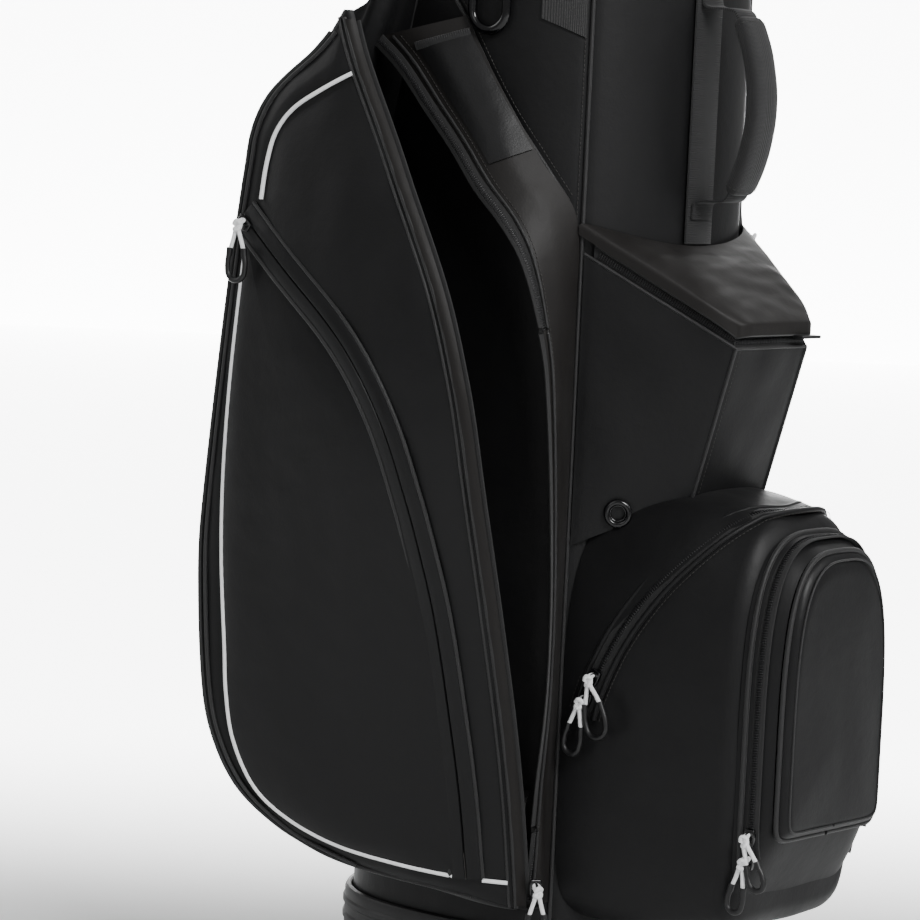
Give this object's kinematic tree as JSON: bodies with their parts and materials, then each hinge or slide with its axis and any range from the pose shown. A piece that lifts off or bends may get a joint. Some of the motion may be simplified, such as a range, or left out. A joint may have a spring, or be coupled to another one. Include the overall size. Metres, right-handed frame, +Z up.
{
  "type": "golf cart bag",
  "caption": "Golf cart bag with divided top, ball pocket, valuables pocket, carry handle and a full-length shoe compartment whose padded side door stands open.",
  "frame": {"origin": "centre of the base's underside, on the ground", "axes": "+Z up along the bag, -Y towards the ball pocket and handle, -X towards the shoe compartment"},
  "size_m": [0.5194, 0.4874, 0.92],
  "materials": {
    "moulded_black": "fine grained moulding",
    "rubber": "matt rubber",
    "liner_plastic": "smooth sheet",
    "coated_fabric": "soft matt coated fabric",
    "lining_fabric": "plain woven lining",
    "piping_black": "covered cord",
    "piping_reflective": "reflective covered cord",
    "zip_tape": "woven tape with a coil",
    "zip_metal": "black enamelled slider",
    "pull_cord": "white cord with a black rubber loop",
    "gloss_black": "polished moulding",
    "loop_patch": "brushed loop pile",
    "webbing": "woven webbing and padded grip"
  },
  "bodies": {
    "bag": {"base_cup": "moulded_black", "top_collar": "moulded_black", "divider_top": "moulded_black", "base_sole": "rubber", "tube_liner": "liner_plastic", "outer_skin": "coated_fabric", "spine_panel": "coated_fabric", "shoe_front_gusset": "coated_fabric", "valuables_walls": "coated_fabric", "ball_pocket": "coated_fabric", "front_gusset": "coated_fabric", "right_pocket": "coated_fabric", "club_dividers": "lining_fabric", "shoe_rear_gusset": "lining_fabric", "shoe_floor": "lining_fabric", "shoe_slip_pocket": "lining_fabric", "valuables_floor": "lining_fabric", "seam_piping": "piping_black", "ball_piping": "piping_black", "shoe_zip_tape": "zip_tape", "valuables_zip_tape": "zip_tape", "ball_zip_tape": "zip_tape", "front_zip_tape": "zip_tape", "right_zip_tape": "zip_tape", "cart_strap_slot": "gloss_black", "drain_eyelet": "gloss_black", "glove_patch": "loop_patch", "handle_anchors": "webbing"},
    "door": {"shoe_door": "coated_fabric", "door_lining": "lining_fabric", "door_piping": "piping_black", "door_zip_tape": "zip_tape", "isotherm_panel": "coated_fabric", "isotherm_zip_tape": "zip_tape", "reflective_piping": "piping_reflective"},
    "isotherm_zip": {"isotherm_slider": "zip_metal"},
    "isotherm_tag": {"isotherm_pull": "pull_cord"},
    "shoe_zip": {"shoe_slider": "zip_metal"},
    "shoe_tag": {"shoe_pull": "pull_cord"},
    "handle": {"handle_straps": "webbing", "handle_grip": "webbing"},
    "lid": {"valuables_lid": "coated_fabric"},
    "valuables_zip": {"valuables_slider": "zip_metal"},
    "valuables_tag": {"valuables_pull": "pull_cord"},
    "ball_zip_high": {"ball_slider_upper": "zip_metal"},
    "ball_tag_high": {"ball_pull_upper": "pull_cord"},
    "ball_zip_low": {"ball_slider_lower": "zip_metal"},
    "ball_tag_low": {"ball_pull_lower": "pull_cord"},
    "flap": {"front_flap": "coated_fabric", "flap_piping": "piping_black"},
    "front_zip_high": {"front_slider_upper": "zip_metal"},
    "front_tag_high": {"front_pull_upper": "pull_cord"},
    "front_zip_low": {"front_slider_lower": "zip_metal"},
    "front_tag_low": {"front_pull_lower": "pull_cord"},
    "right_zip": {"right_slider": "zip_metal"},
    "right_tag": {"right_pull": "pull_cord"}
  },
  "joints": [
    {"name": "door_swing", "type": "hinge", "parent": "bag", "child": "door", "pos_m": [-0.262, 0.149, 0.45], "axis": [0, 0, 1], "range_deg": [-22, 0]},
    {"name": "isotherm_zip_travel", "type": "slide", "parent": "door", "child": "isotherm_zip", "axis": [-0.1281, -0.8295, -0.5437], "range_m": [0, 0.045]},
    {"name": "isotherm_tag_swing", "type": "hinge", "parent": "isotherm_zip", "child": "isotherm_tag", "pos_m": [-0.27725, 0.10525, 0.64], "axis": [-0.0523, 0.9986, 0], "range_deg": [0, 80]},
    {"name": "shoe_zip_travel", "type": "slide", "parent": "bag", "child": "shoe_zip", "axis": [-0.0855, -0.1197, 0.9891], "range_m": [0, 0.045]},
    {"name": "shoe_tag_swing", "type": "hinge", "parent": "shoe_zip", "child": "shoe_tag", "pos_m": [-0.13723, -0.1187, 0.122], "axis": [-0.788, 0.6157, 0], "range_deg": [0, 80]},
    {"name": "handle_swing", "type": "hinge", "parent": "bag", "child": "handle", "pos_m": [0, -0.147, 0.75], "axis": [0, 0, 1], "range_deg": [-45, 45]},
    {"name": "lid_open", "type": "hinge", "parent": "bag", "child": "lid", "pos_m": [0, -0.147, 0.643], "axis": [-1, 0, 0], "range_deg": [0, 50]},
    {"name": "valuables_zip_travel", "type": "slide", "parent": "bag", "child": "valuables_zip", "axis": [0.4046, 0.7803, 0.4769], "range_m": [0, 0.05]},
    {"name": "valuables_tag_swing", "type": "hinge", "parent": "valuables_zip", "child": "valuables_tag", "pos_m": [0.0825, -0.1839, 0.5784], "axis": [-0.4509, -0.8926, 0], "range_deg": [0, 60]},
    {"name": "ball_zip_high_travel", "type": "slide", "parent": "bag", "child": "ball_zip_high", "axis": [0.045, -0.4104, 0.9108], "range_m": [0, 0.025]},
    {"name": "ball_tag_high_swing", "type": "hinge", "parent": "ball_zip_high", "child": "ball_tag_high", "pos_m": [-0.11415, -0.14097, 0.29351], "axis": [0, 0.9613, -0.2756], "range_deg": [0, 50]},
    {"name": "ball_zip_low_travel", "type": "slide", "parent": "bag", "child": "ball_zip_low", "axis": [0.0477, -0.3289, 0.9431], "range_m": [-0.003, 0.003]},
    {"name": "ball_tag_low_swing", "type": "hinge", "parent": "ball_zip_low", "child": "ball_tag_low", "pos_m": [-0.11511, -0.13436, 0.27455], "axis": [0, 0.9848, 0.1736], "range_deg": [0, 50]},
    {"name": "flap_open", "type": "hinge", "parent": "bag", "child": "flap", "pos_m": [0, -0.299, 0.1815], "axis": [1, 0, 0], "range_deg": [0, 75]},
    {"name": "front_zip_high_travel", "type": "slide", "parent": "bag", "child": "front_zip_high", "axis": [0, 0, 1], "range_m": [0, 0.1]},
    {"name": "front_tag_high_swing", "type": "hinge", "parent": "front_zip_high", "child": "front_tag_high", "pos_m": [-0.0862, -0.28, 0.184], "axis": [0, 0.9135, -0.4067], "range_deg": [0, 50]},
    {"name": "front_zip_low_travel", "type": "slide", "parent": "bag", "child": "front_zip_low", "axis": [0, 0, 1], "range_m": [-0.004, 0.004]},
    {"name": "front_tag_low_swing", "type": "hinge", "parent": "front_zip_low", "child": "front_tag_low", "pos_m": [-0.0862, -0.28, 0.166], "axis": [0, 0.9848, 0.1736], "range_deg": [0, 50]},
    {"name": "right_zip_travel", "type": "slide", "parent": "bag", "child": "right_zip", "axis": [-0.0517, -0.1098, -0.9926], "range_m": [0, 0.06]},
    {"name": "right_tag_swing", "type": "hinge", "parent": "right_zip", "child": "right_tag", "pos_m": [0.1531, -0.08665, 0.64], "axis": [-0.9135, -0.4067, 0], "range_deg": [0, 80]}
  ]
}
